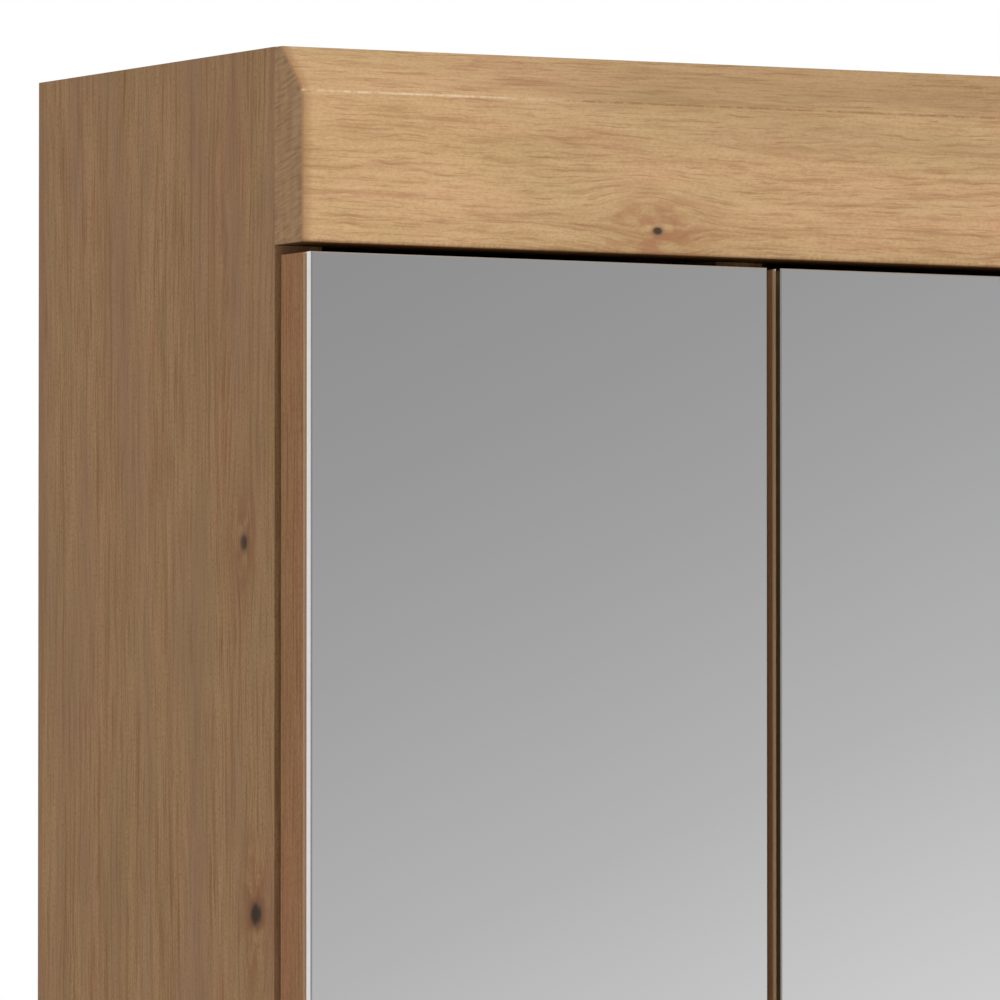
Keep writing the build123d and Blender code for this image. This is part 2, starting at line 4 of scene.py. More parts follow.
import bmesh
import bpy
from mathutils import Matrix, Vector


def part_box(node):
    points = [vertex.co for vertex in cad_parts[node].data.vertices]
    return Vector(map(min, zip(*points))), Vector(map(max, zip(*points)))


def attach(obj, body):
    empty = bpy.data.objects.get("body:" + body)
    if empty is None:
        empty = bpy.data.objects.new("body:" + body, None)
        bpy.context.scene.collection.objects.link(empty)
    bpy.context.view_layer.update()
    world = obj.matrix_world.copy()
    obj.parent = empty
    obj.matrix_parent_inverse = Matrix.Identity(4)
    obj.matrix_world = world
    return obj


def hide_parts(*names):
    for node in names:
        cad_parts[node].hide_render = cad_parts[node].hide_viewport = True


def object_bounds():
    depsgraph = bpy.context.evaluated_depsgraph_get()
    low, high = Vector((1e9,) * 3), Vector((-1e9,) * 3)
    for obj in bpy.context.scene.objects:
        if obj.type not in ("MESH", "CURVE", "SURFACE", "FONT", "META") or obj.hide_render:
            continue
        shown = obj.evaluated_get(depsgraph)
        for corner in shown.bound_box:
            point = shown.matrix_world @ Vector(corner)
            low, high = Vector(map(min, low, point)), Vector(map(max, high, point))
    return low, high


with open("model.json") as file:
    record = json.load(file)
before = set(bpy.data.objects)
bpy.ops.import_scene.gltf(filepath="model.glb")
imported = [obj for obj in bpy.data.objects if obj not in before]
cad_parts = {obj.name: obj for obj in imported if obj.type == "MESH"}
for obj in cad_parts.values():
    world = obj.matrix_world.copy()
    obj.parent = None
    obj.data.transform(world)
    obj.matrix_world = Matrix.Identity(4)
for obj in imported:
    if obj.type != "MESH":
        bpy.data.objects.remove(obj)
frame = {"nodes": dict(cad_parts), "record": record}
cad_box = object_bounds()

NODES = frame["nodes"]
DOORS = ("left", "centre", "right")


# ---- shader helpers ------------------------------------------------------------------------------
class Tree:
    """Adds linked nodes to one node tree."""

    def __init__(self, tree):
        self.tree = tree
        tree.nodes.clear()

    def add(self, kind, inputs=None, **settings):
        """One node. Sockets given as inputs are linked, other values are set."""
        node = self.tree.nodes.new("ShaderNode" + kind)
        for key, value in settings.items():
            setattr(node, key, value)
        for key, value in (inputs or {}).items():
            if isinstance(value, bpy.types.NodeSocket):
                self.tree.links.new(value, node.inputs[key])
            else:
                node.inputs[key].default_value = value
        return node

    def math(self, operation, a, b=0.0):
        return self.add("Math", {0: a, 1: b}, operation=operation).outputs[0]

    def plus(self, first, *others):
        for other in others:
            first = self.math("ADD", first, other)
        return first

    def times(self, first, *others):
        for other in others:
            first = self.math("MULTIPLY", first, other)
        return first

    def ramp(self, value, stops):
        """A grey or coloured ramp over a value; each stop is (position, colour or grey)."""
        node = self.add("ValToRGB", {0: value})
        elements = node.color_ramp.elements
        while len(elements) < len(stops):
            elements.new(0.5)
        for element, (position, colour) in zip(elements, stops):
            element.position = position
            colour = (colour,) * 3 if isinstance(colour, float) else colour
            element.color = (*colour, 1.0)
        return node.outputs[0]

    def mix(self, factor, a, b, blend="MIX"):
        node = self.add("Mix", data_type="RGBA", blend_type=blend)
        for index, value in ((0, factor), (6, a), (7, b)):
            if isinstance(value, bpy.types.NodeSocket):
                self.tree.links.new(value, node.inputs[index])
            elif index == 0:
                node.inputs[index].default_value = value
            else:
                node.inputs[index].default_value = (*value, 1.0)
        return node.outputs[2]

    def vector(self, x, y, z):
        return self.add("CombineXYZ", {0: x, 1: y, 2: z}).outputs[0]

    def parts(self, vector):
        """The X, Y and Z of a vector."""
        return self.add("SeparateXYZ", {0: vector}).outputs

    def coordinates(self, kind):
        """Texture coordinates: Object for a place in metres, Normal for the way a face looks."""
        return self.add("TexCoord").outputs[kind]

    def noise(self, vector, detail=2.0, roughness=0.5):
        return self.add("TexNoise", {"Vector": vector, "Scale": 1.0, "Detail": detail,
                                     "Roughness": roughness}).outputs[0]

    def object_noise(self, fineness, detail, roughness=0.5):
        """Even noise over the piece, with about that many cells to a metre."""
        vector = self.add("VectorMath", {0: self.coordinates("Object"), 3: fineness},
                          operation="SCALE").outputs[0]
        return self.noise(vector, detail, roughness)

    def remap(self, value, old_low, old_high, low, high, **settings):
        """A value from old_low to old_high, as low to high."""
        return self.add("MapRange", {0: value, 1: old_low, 2: old_high, 3: low, 4: high},
                        **settings).outputs[0]

    def spread(self, value, low, high):
        """A value from 0 to 1, as low to high."""
        return self.remap(value, 0.0, 1.0, low, high)

    def bump(self, height, strength, distance):
        return self.add("Bump", {"Height": height, "Strength": strength,
                                 "Distance": distance}).outputs[0]


def surface(name, build, **constants):
    """A material whose Principled shader takes constants, and linked inputs from build."""
    material = bpy.data.materials.new(name)
    material.use_nodes = True
    tree = Tree(material.node_tree)
    shader = tree.add("BsdfPrincipled", constants)
    for key, value in build(tree).items():
        tree.tree.links.new(value, shader.inputs[key])
    output = tree.add("OutputMaterial")
    tree.tree.links.new(shader.outputs[0], output.inputs[0])
    return material


# ---- oak -----------------------------------------------------------------------------------------
OAK_LIGHT = (0.735, 0.485, 0.262)
OAK_MID = (0.655, 0.415, 0.215)
OAK_DARK = (0.560, 0.335, 0.165)
OAK_LINE = (0.360, 0.172, 0.078)
OAK_PINK = (0.700, 0.395, 0.225)
OAK_OLIVE = (0.570, 0.390, 0.190)
KNOT_HEART = (0.085, 0.062, 0.046)
KNOT_RIM = (0.300, 0.170, 0.095)
KNOT_RING = (0.450, 0.215, 0.110)
OAK_SPECULAR = 0.07

# each noise: fineness along the grain and across it (cells to a metre), detail, roughness
DRIFT = (2.6, 14.0, 1.0, 0.5)
RIPPLE = (19.0, 55.0, 2.0, 0.5)
QUIVER = (120.0, 260.0, 3.0, 0.5)
GRIT = (900.0, 1500.0, 2.0, 0.5)
BANDS = (3.5, 62.0, 2.0, 0.55)
FIBRES = (60.0, 1400.0, 3.0, 0.6)
PORES = (130.0, 2100.0, 1.0, 0.55)
PATCHES = (24.0, 95.0, 2.0, 0.55)
CLOUDS = (9.0, 34.0, 2.0, 0.55)
STREAK_DETAIL, STREAK_ROUGHNESS = 3.0, 0.55
HAIR_DETAIL, HAIR_ROUGHNESS = 3.0, 0.6
HAIRS_FINER_ALONG, HAIRS_FINER_ACROSS = 2.2, 2.3        # than the streaks

# what each noise becomes
TONE_STOPS = [(0.42, OAK_DARK), (0.50, OAK_MID), (0.58, OAK_LIGHT)]
PATCH_STOPS = [(0.36, OAK_OLIVE), (0.44, OAK_MID), (0.54, OAK_LIGHT), (0.66, OAK_PINK)]
CLOUD_STOPS = [(0.36, OAK_OLIVE), (0.50, OAK_MID), (0.62, OAK_PINK)]
STREAK_STOPS = [(0.32, 1.0), (0.40, 0.45), (0.53, 0.0)]
HAIR_STOPS = [(0.33, 1.0), (0.48, 0.0)]
PORE_STOPS = [(0.27, 1.0), (0.36, 0.0)]
SWIRL_STOPS = [(0.38, 0.10), (0.56, 1.0)]
SPECK_FROM, SPECK_TO = 0.34, 0.50

# how much each one counts
BANDS_SHARE, FIBRES_SHARE, GRIT_SHARE = 0.30, 0.28, 0.42
PATCH_TINT = 0.42
CLOUD_TINT = 0.30
STREAK_INK = 0.42
HAIR_INK = 0.44
PORE_INK = 0.35
RIM_INK = 0.65
STREAK_ROUGH, BETWEEN_ROUGH = 0.66, 0.54
OAK_BUMP_STRENGTH = 0.25
OAK_BUMP_DEPTH = 0.00012
FIBRE_RELIEF = 0.5
HAIR_RELIEF = 0.5

GRAIN_PULL = 0.80               # how far the grain closes in round a knot
HEARTLESS_TINT = 0.22           # how much of the ring's colour a knot without a heart keeps
KNOT_WOBBLE = 0.8               # unevenness of a heart's outline
KNOT_CRISPNESS = 3.0
RIM_NEARNESS = 0.42             # less than one, so that the rim shows round the heart
RING_FALL = 1.2


def squared_distance(t, du, dv, reach_u, reach_v):
    return t.plus(t.math("POWER", t.math("DIVIDE", du, reach_u), 2.0),
                  t.math("POWER", t.math("DIVIDE", dv, reach_v), 2.0))


def fade(t, value):
    """One at zero, falling away softly."""
    return t.math("EXPONENT", t.times(value, -1.0))


def stretched(t, along, across, depth, kind):
    """Noise of one kind, finer across the grain than along it."""
    fine_along, fine_across, detail, roughness = kind
    place = t.vector(t.times(along, fine_along), t.times(across, fine_across),
                     t.times(depth, fine_across))
    return t.noise(place, detail, roughness)


def greatest(t, values):
    """The greatest of a list of values, at each place."""
    result = values[0]
    for value in values[1:]:
        result = t.math("MAXIMUM", result, value)
    return result


def oak_colours(t, grain, knots, style):
    """Colour, roughness and height of matt oak, and the place on the piece.

    grain is the axis along the grain, 0 for X or 2 for Z. Each knot is (place along the grain,
    place across it, half length, half width, reach along, reach across), in metres; one with no
    half length only bends the grain. style holds the size and the strength of the figure.
    """
    place = t.parts(t.coordinates("Object"))
    along, first, second = (place[0], place[2], place[1])
    if grain == 2:
        along, first, second = (place[2], place[1], place[0])

    def sway(across, noise, width):
        return t.plus(across, t.spread(noise, -0.5 * width, 0.5 * width))

    across = sway(first, stretched(t, along, first, second, DRIFT), style["drift"])
    across = sway(across, stretched(t, along, first, second, RIPPLE), style["ripple"])
    quiver = stretched(t, along, first, second, QUIVER)
    across = sway(across, quiver, style["quiver"])
    hearts, rims, rings = [], [], []
    for at_along, at_across, half_long, half_wide, reach_long, reach_wide in knots:
        du = t.math("SUBTRACT", along, at_along)
        dv = t.math("SUBTRACT", first, at_across)
        pull = fade(t, squared_distance(t, du, dv, reach_long, reach_wide))
        across = t.math("SUBTRACT", across, t.times(dv, pull, GRAIN_PULL))
        if not half_long:
            rings.append(t.times(pull, HEARTLESS_TINT))
            continue
        rings.append(pull)
        near = t.plus(squared_distance(t, du, dv, half_long, half_wide),
                      t.spread(quiver, -KNOT_WOBBLE, KNOT_WOBBLE))
        near = t.math("MAXIMUM", near, 0.0)
        hearts.append(fade(t, t.math("POWER", near, KNOT_CRISPNESS)))
        rims.append(fade(t, t.math("POWER", t.times(near, RIM_NEARNESS), KNOT_CRISPNESS)))

    def lines(kind):
        return stretched(t, along, across, second, kind)

    long_scale, cross_scale = style["line_long"], style["line_cross"]
    streaks = lines((long_scale, cross_scale, STREAK_DETAIL, STREAK_ROUGHNESS))
    hairs = lines((long_scale * HAIRS_FINER_ALONG, cross_scale * HAIRS_FINER_ACROSS,
                   HAIR_DETAIL, HAIR_ROUGHNESS))
    fibres = lines(FIBRES)
    grit = stretched(t, along, first, second, GRIT)

    strength = style["strength"]
    tone = t.plus(t.times(lines(BANDS), BANDS_SHARE), t.times(fibres, FIBRES_SHARE),
                  t.times(grit, GRIT_SHARE))
    colour = t.ramp(tone, TONE_STOPS)
    colour = t.mix(PATCH_TINT * strength, colour, t.ramp(lines(PATCHES), PATCH_STOPS))
    colour = t.mix(CLOUD_TINT * strength, colour, t.ramp(lines(CLOUDS), CLOUD_STOPS))
    line = t.ramp(streaks, STREAK_STOPS)
    colour = t.mix(t.times(line, STREAK_INK * strength), colour, OAK_LINE)
    hair = t.ramp(hairs, HAIR_STOPS)
    colour = t.mix(t.times(hair, HAIR_INK * strength), colour, OAK_LINE)
    dash = t.ramp(lines(PORES), PORE_STOPS)
    colour = t.mix(t.times(dash, PORE_INK), colour, OAK_LINE)
    speck = t.ramp(grit, [(SPECK_FROM, style["speck"]), (SPECK_TO, 0.0)])
    colour = t.mix(speck, colour, OAK_LINE)
    if hearts:
        swirl = t.ramp(quiver, SWIRL_STOPS)
        ring = t.math("POWER", greatest(t, rings), RING_FALL)
        colour = t.mix(t.times(ring, swirl), colour, KNOT_RING)
        colour = t.mix(t.times(greatest(t, rims), RIM_INK), colour, KNOT_RIM)
        colour = t.mix(greatest(t, hearts), colour, KNOT_HEART)
    colour = t.mix(1.0, colour, style["tint"], "MULTIPLY")
    marks = t.plus(dash, t.times(hair, HAIR_RELIEF))
    height = t.math("SUBTRACT", t.times(fibres, FIBRE_RELIEF), marks)
    return colour, t.spread(streaks, STREAK_ROUGH, BETWEEN_ROUGH), height, place


def oak(name, grain, style, knots=(), finish=None):
    """A matt oak. finish may change the colour, from the node's own coordinates."""
    def build(t):
        colour, roughness, height, place = oak_colours(t, grain, knots, style)
        if finish is not None:
            colour = finish(t, colour, place)
        bump = t.bump(height, OAK_BUMP_STRENGTH, OAK_BUMP_DEPTH)
        return {"Base Color": colour, "Roughness": roughness, "Normal": bump}
    return surface(name, build, **{"Specular IOR Level": OAK_SPECULAR})


# ---- other finishes ------------------------------------------------------------------------------
CLOUD_FROM, CLOUD_TO = 0.3, 0.7         # where a cloud of noise turns from one colour to the other
CLOUD_DETAIL = 3.0
FINE_DETAIL = 2.0
FINER = 9.0                             # the fine noise against the cloud
SPECKLE_BUMP = 0.5
BRUSH_STRETCH = (900.0, 900.0, 160.0)
BRUSH_CLOUD = 60.0
BRUSH_BUMP, BRUSH_DEPTH = 0.3, 0.00004
SILVER_LOW, SILVER_HIGH = (0.925, 0.930, 0.928), (0.945, 0.948, 0.947)
SILVER_CLOUD = 5.0
SILVER_ROUGH = (0.004, 0.012)
BOARD_LOW, BOARD_HIGH = (0.245, 0.150, 0.078), (0.345, 0.225, 0.125)
BOARD_STOPS = [(0.35, BOARD_LOW), (0.65, BOARD_HIGH)]
BOARD_FIBRE, BOARD_FIBRE_DETAIL, BOARD_FIBRE_ROUGHNESS = 420.0, 4.0, 0.7
BOARD_CLOUD = 18.0
BOARD_FIBRE_SHARE, BOARD_CLOUD_SHARE = 0.6, 0.4
BOARD_ROUGH = (0.62, 0.8)
BOARD_BUMP, BOARD_DEPTH = 0.4, 0.0001


def cloudy(t, cloud, low, high):
    """One colour turning to another with a cloud of noise."""
    return t.ramp(cloud, [(CLOUD_FROM, low), (CLOUD_TO, high)])


def speckled(low, high, fineness, rough_low, rough_high, depth=0.0):
    """Colour and roughness that vary softly with a noise, and a fine bump of that depth."""
    def build(t):
        cloud = t.object_noise(fineness, CLOUD_DETAIL)
        fine = t.object_noise(fineness * FINER, FINE_DETAIL)
        result = {"Base Color": cloudy(t, cloud, low, high),
                  "Roughness": t.spread(fine, rough_low, rough_high)}
        if depth:
            result["Normal"] = t.bump(fine, SPECKLE_BUMP, depth)
        return result
    return build


def brushed(low, high, rough_low, rough_high):
    """Metal drawn along Z, with fine lines across it."""
    def build(t):
        stretch = t.add("VectorMath", {0: t.coordinates("Object"), 1: BRUSH_STRETCH},
                        operation="MULTIPLY").outputs[0]
        lines = t.noise(stretch, CLOUD_DETAIL)
        cloud = t.object_noise(BRUSH_CLOUD, FINE_DETAIL)
        return {"Base Color": cloudy(t, cloud, low, high),
                "Roughness": t.spread(lines, rough_low, rough_high),
                "Normal": t.bump(lines, BRUSH_BUMP, BRUSH_DEPTH)}
    return build


def mirror_build(t):
    """Silvering with the faintest unevenness in tone and polish."""
    cloud = t.object_noise(SILVER_CLOUD, CLOUD_DETAIL)
    return {"Base Color": cloudy(t, cloud, SILVER_LOW, SILVER_HIGH),
            "Roughness": t.spread(cloud, *SILVER_ROUGH)}


def hardboard_build(t):
    """Pressed fibre board: short fibres in every direction."""
    fibre = t.object_noise(BOARD_FIBRE, BOARD_FIBRE_DETAIL, BOARD_FIBRE_ROUGHNESS)
    cloud = t.object_noise(BOARD_CLOUD, FINE_DETAIL)
    tone = t.plus(t.times(fibre, BOARD_FIBRE_SHARE), t.times(cloud, BOARD_CLOUD_SHARE))
    return {"Base Color": t.ramp(tone, BOARD_STOPS),
            "Roughness": t.spread(fibre, *BOARD_ROUGH),
            "Normal": t.bump(fibre, BOARD_BUMP, BOARD_DEPTH)}


# ---- sizes read from the frame -------------------------------------------------------------------
side_low, side_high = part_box("side_panel_left")
fascia_low, fascia_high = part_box("fascia")
CARCASS_FRONT = side_low.y
CARCASS_TOP = side_high.z
FLOOR_LEVEL = cad_box[0][2]
DOOR_BOARD_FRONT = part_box("door_board_left")[0].y

# knots: along the grain, across it, then half sizes and how far the grain bends round them
FASCIA_KNOTS = ((fascia_low.x + 0.1215, fascia_high.z - 0.0528, 0.0016, 0.0011, 0.018, 0.011),
                (fascia_low.x + 0.1150, fascia_high.z - 0.0480, 0.0, 0.0, 0.014, 0.007))
SIDE_KNOTS = ((CARCASS_TOP - 0.1485, CARCASS_FRONT + 0.0200, 0.0022, 0.0021, 0.018, 0.008),
              (CARCASS_TOP - 0.2609, CARCASS_FRONT + 0.0120, 0.0034, 0.0038, 0.024, 0.010),
              (CARCASS_TOP - 0.0600, CARCASS_FRONT + 0.0330, 0.0, 0.0, 0.060, 0.009),
              (CARCASS_TOP - 0.4300, CARCASS_FRONT + 0.0800, 0.0, 0.0, 0.110, 0.016),
              (CARCASS_TOP - 0.6400, CARCASS_FRONT + 0.0450, 0.0, 0.0, 0.080, 0.012))

# figures: how far the grain sways, how fine its lines are, how strong they are, and the tint
WAVY = {"drift": 0.015, "ripple": 0.0032, "quiver": 0.0017, "line_long": 31.0, "line_cross": 560.0,
        "strength": 1.05, "speck": 0.07, "tint": (0.985, 0.995, 0.985)}
STRAIGHT = {"drift": 0.016, "ripple": 0.0040, "quiver": 0.0009, "line_long": 18.0,
            "line_cross": 540.0, "strength": 1.20, "speck": 0.26, "tint": (0.915, 0.860, 0.805)}
DOOR_STRAIGHT = {"drift": 0.006, "ripple": 0.0016, "quiver": 0.0006, "line_long": 17.0,
                 "line_cross": 900.0, "strength": 1.3, "speck": 0.26, "tint": (0.85, 0.70, 0.62)}

# ---- finishes of single boards -------------------------------------------------------------------
EDGE_BROWN = (0.360, 0.190, 0.080)
REAR_RED = (0.500, 0.250, 0.125)
SIDE_MAUVE = (0.440, 0.265, 0.165)
# painted highlight along the fascia's crease
CREASE_HIGHLIGHT = (1.0, 0.84, 0.60)
CREASE_BROWN = (0.34, 0.18, 0.09)
# olive of the painted shade near the fascia's crease
SHADE_OLIVE = (0.390, 0.255, 0.125)
# painted highlight on the rounded front edge of the door boards
RIM_HIGHLIGHT = (1.0, 0.80, 0.54)
INNER_EDGE = (0.600, 0.480, 0.350)
SHADOW = (0.0, 0.0, 0.0)

# each noise over a face: fineness along two coordinates (cells to a metre), an offset that tells
# it from the others, and detail
FOIL_MARKS = (1050.0, 130.0, 3.0, 2.0)
FOIL_CLOUDS = (260.0, 50.0, 9.0, 2.0)
CREASE_PATCHINESS = (520.0, 300.0, 0.0, 3.0)
TICKS = (1000.0, 90.0, 5.0, 2.0)
CREASE_SHADE_CLOUD = (14.0, 90.0, 7.0, 3.0)

# the foil on the fascia's ends
FOIL_SLANT = 0.20
FOIL_MARKS_SHARE, FOIL_CLOUDS_SHARE = 0.6, 0.4
FOIL_STOPS = [(0.36, (0.470, 0.270, 0.138)), (0.50, (0.595, 0.355, 0.185)),
              (0.62, (0.670, 0.415, 0.222))]
END_FACING = [(0.55, 0.0), (0.80, 1.0)]

# bands across the fascia: low, high, softness; the crease is where the chamfer begins
CHAMFER_HEIGHT = 0.0140
CREASE_LEVEL = fascia_high.z - CHAMFER_HEIGHT
CREASE_BAND = (CREASE_LEVEL - 0.0004, CREASE_LEVEL + 0.0001, 0.0003)
CHAMFER_BAND = (CREASE_LEVEL, CARCASS_TOP + 0.01, 0.0040)
CREASE_SHADE_BAND = (CREASE_LEVEL - 0.009, CREASE_LEVEL + 0.005, 0.008)
ROUNDING_BAND = (fascia_low.z - 0.001, fascia_low.z + 0.0013, 0.0006)

# strengths by the distance from the fascia's nearer end
ARRIS_REACH = [(0.0006, 0.75), (0.0026, 0.0)]
CREASE_HIGHLIGHT_REACH = [(0.060, 0.66), (0.100, 0.0)]
CREASE_DOTS_REACH = [(0.078, 0.0), (0.096, 1.0)]
CHAMFER_REACH = [(0.030, 0.0), (0.200, 1.0)]
CREASE_SHADE_REACH = [(0.050, 0.0), (0.120, 1.0)]
MIDDLE_SHADE_REACH = [(0.030, 0.0), (0.100, 0.07)]

# what the noises over the fascia's front become
CREASE_HIGHLIGHT_PATCHES = [(0.40, 0.25), (0.58, 1.0)]
CREASE_DOTS_PATCHES = [(0.45, 0.95), (0.58, 0.25)]
TICK_STOPS = [(0.36, 1.0), (0.52, 0.0)]
TICK_INK = 0.30
CREASE_SHADE_STOPS = [(0.38, 0.12), (0.60, 0.62)]
CHAMFER_SHADE = 0.12
FACING_DOWN = [(0.70, 0.0), (0.95, 1.0)]
UNDERSIDE_SHADE = 0.70

# the side panel
MAUVE_FINE_Y, MAUVE_FINE_Z, MAUVE_OFFSET = 52.0, 8.0, 2.0
MAUVE_STOPS = [(0.45, 0.0), (0.64, 0.42)]
REAR_EDGING_BAND = (-0.0030, 0.01, 0.0003)
REAR_EDGING_INK = 0.50

# the doors: the edges nearer to the middle than the outer doors' hinges are greyer, and take more of
# the painted highlight on the board's front edge
RIM_HIGHLIGHT_BAND = (DOOR_BOARD_FRONT - 0.001, DOOR_BOARD_FRONT + 0.0016, 0.0003)
INNER_EDGE_REACH = [(0.300, 0.35), (0.310, 0.0)]
RIM_HIGHLIGHT_REACH = [(0.300, 0.95), (0.310, 0.35)]


def band(t, value, low, high, soft):
    """One while the value is between low and high, with soft ends."""
    rise = t.remap(value, low - soft, low + soft, 0.0, 1.0)
    fall = t.remap(value, high - soft, high + soft, 1.0, 0.0)
    return t.times(rise, fall)


def sheet_noise(t, u, v, kind):
    """Noise of one kind over two coordinates."""
    fine_u, fine_v, offset, detail = kind
    return t.noise(t.vector(t.times(u, fine_u), t.times(v, fine_v), offset), detail)


def end_foil(t, place):
    """Faint slanting marks where the foil is wrapped over the fascia's ends."""
    slant = t.plus(place[2], t.times(place[1], FOIL_SLANT))
    marks = sheet_noise(t, slant, place[1], FOIL_MARKS)
    clouds = sheet_noise(t, place[1], place[2], FOIL_CLOUDS)
    tone = t.plus(t.times(marks, FOIL_MARKS_SHARE), t.times(clouds, FOIL_CLOUDS_SHARE))
    return t.ramp(tone, FOIL_STOPS)


def fascia_finish(t, colour, place):
    """The fascia's wrapped ends, its darker arrises, a painted highlight on the line where the chamfer
    begins, darker dots along that line, and painted shade over the chamfer, under the crease, towards
    the middle and on the underside.
    """
    facing = t.parts(t.coordinates("Normal"))
    end = t.ramp(t.math("ABSOLUTE", facing[0]), END_FACING)
    inner = t.math("SUBTRACT", 1.0, end)
    reach = t.math("SUBTRACT", fascia_high.x, t.math("ABSOLUTE", place[0]))
    crease = t.times(band(t, place[2], *CREASE_BAND), inner)
    patchiness = sheet_noise(t, place[0], place[2], CREASE_PATCHINESS)

    colour = t.mix(end, colour, end_foil(t, place))
    colour = t.mix(t.times(t.ramp(reach, ARRIS_REACH), inner), colour, EDGE_BROWN)
    # painted highlight: a pale line along the crease near each end, broken into patches
    crease_highlight = t.times(crease, t.ramp(reach, CREASE_HIGHLIGHT_REACH), t.ramp(patchiness, CREASE_HIGHLIGHT_PATCHES))
    colour = t.mix(crease_highlight, colour, CREASE_HIGHLIGHT)
    ticks = t.ramp(sheet_noise(t, place[0], place[2], TICKS), TICK_STOPS)
    ticks = t.times(ticks, band(t, place[2], *ROUNDING_BAND), TICK_INK)
    colour = t.mix(ticks, colour, EDGE_BROWN)
    chamfer = t.times(t.ramp(reach, CHAMFER_REACH), band(t, place[2], *CHAMFER_BAND))
    colour = t.mix(t.times(chamfer, CHAMFER_SHADE), colour, SHADOW)
    # painted shade: a dark olive cloud around the crease, away from the fascia's ends
    cloud = sheet_noise(t, place[0], place[2], CREASE_SHADE_CLOUD)
    crease_shade = t.times(t.ramp(reach, CREASE_SHADE_REACH), band(t, place[2], *CREASE_SHADE_BAND),
                    t.ramp(cloud, CREASE_SHADE_STOPS))
    colour = t.mix(crease_shade, colour, SHADE_OLIVE)
    # darker brown dots along the crease, further from the ends than the pale line
    crease_dots = t.times(crease, t.ramp(reach, CREASE_DOTS_REACH), t.ramp(patchiness, CREASE_DOTS_PATCHES))
    colour = t.mix(crease_dots, colour, CREASE_BROWN)
    # painted shade: the fascia darker away from its ends, where the light falls off
    colour = t.mix(t.ramp(reach, MIDDLE_SHADE_REACH), colour, SHADOW)
    under = t.ramp(t.times(facing[2], -1.0), FACING_DOWN)
    return t.mix(t.times(under, UNDERSIDE_SHADE), colour, SHADOW)


def side_finish(t, colour, place):
    """Broad mauve bands, and a narrow redder edging along the rear edge."""
    mauve = t.noise(t.vector(MAUVE_OFFSET, t.times(place[1], MAUVE_FINE_Y),
                             t.times(place[2], MAUVE_FINE_Z)))
    colour = t.mix(t.ramp(mauve, MAUVE_STOPS), colour, SIDE_MAUVE)
    edging = band(t, place[1], *REAR_EDGING_BAND)
    return t.mix(t.times(edging, REAR_EDGING_INK), colour, REAR_RED)


def door_finish(t, colour, place):
    """A painted highlight, a paler line where the edging meets the front of each door's board, and
    greyer inner edges.
    """
    rim_highlight = band(t, place[1], *RIM_HIGHLIGHT_BAND)
    half = t.math("ABSOLUTE", place[0])
    colour = t.mix(t.ramp(half, INNER_EDGE_REACH), colour, INNER_EDGE)
    return t.mix(t.times(rim_highlight, t.ramp(half, RIM_HIGHLIGHT_REACH)), colour, RIM_HIGHLIGHT)


OAK_LONG = oak("oak_along_x", 0, STRAIGHT)
OAK_UPRIGHT = oak("oak_upright", 2, STRAIGHT)
OAK_SIDE = oak("oak_side_panel", 2, STRAIGHT, SIDE_KNOTS, side_finish)
OAK_FASCIA = oak("oak_fascia", 0, WAVY, FASCIA_KNOTS, fascia_finish)
OAK_DOOR = oak("oak_door", 2, DOOR_STRAIGHT, (), door_finish)
MIRROR = surface("mirror_silver", mirror_build, Metallic=1.0)
GLASS_EDGE = surface("ground_glass_edge",
                     speckled((0.93, 0.93, 0.92), (0.99, 0.99, 0.98), 300.0, 0.08, 0.14),
                     Metallic=1.0)
# a darker copy of the ground edge: painted shade for the glass edges that face the next door across the
# narrow gap
GLASS_EDGE_SHADED = surface("glass_edge_painted_shade",
                     speckled((0.24, 0.27, 0.23), (0.30, 0.33, 0.29), 300.0, 0.10, 0.18),
                     Metallic=1.0)
GLASS_BACK = surface("mirror_backing_paint",
                     speckled((0.10, 0.11, 0.13), (0.14, 0.15, 0.17), 120.0, 0.45, 0.6))
BACK_BOARD = surface("hardboard", hardboard_build)
BEECH = surface("beech_dowel",
                speckled((0.62, 0.44, 0.27), (0.74, 0.57, 0.38), 220.0, 0.6, 0.75, 0.00005))
FILM = surface("mounting_film",
               speckled((0.035, 0.030, 0.026), (0.060, 0.052, 0.045), 500.0, 0.7, 0.9, 0.00005))
BUMPER = surface("clear_bumper",
                 speckled((0.74, 0.75, 0.74), (0.84, 0.85, 0.84), 150.0, 0.12, 0.25),
                 **{"Transmission Weight": 0.55, "IOR": 1.46})
NICKEL = surface("nickel_steel",
                 brushed((0.60, 0.585, 0.555), (0.72, 0.70, 0.665), 0.20, 0.34), Metallic=1.0)
BRACKET = surface("bracket_steel",
                  brushed((0.50, 0.515, 0.53), (0.64, 0.65, 0.66), 0.30, 0.46), Metallic=1.0)
ZINC = surface("zinc_screw",
               speckled((0.52, 0.53, 0.54), (0.70, 0.71, 0.72), 260.0, 0.24, 0.40, 0.00003),
               Metallic=1.0)
CAM_ALLOY = surface("cam_alloy",
                    speckled((0.42, 0.42, 0.43), (0.56, 0.56, 0.57), 350.0, 0.38, 0.55, 0.00006),
                    Metallic=1.0)

SLOT_FINISH = {"oak": OAK_LONG, "back_board": BACK_BOARD, "dowel_wood": BEECH, "mirror": MIRROR,
               "adhesive_film": FILM, "bumper": BUMPER, "nickel_steel": NICKEL,
               "bracket_steel": BRACKET, "zinc_screw": ZINC, "cam_alloy": CAM_ALLOY}
UPRIGHT_NODES = ("side_panel_right", "partition_left", "partition_right")


def finish_of(node, slot):
    if node == "side_panel_left":
        return OAK_SIDE
    if node == "fascia":
        return OAK_FASCIA
    if node.startswith("door_board"):
        return OAK_DOOR
    if node in UPRIGHT_NODES:
        return OAK_UPRIGHT
    return SLOT_FINISH[slot]


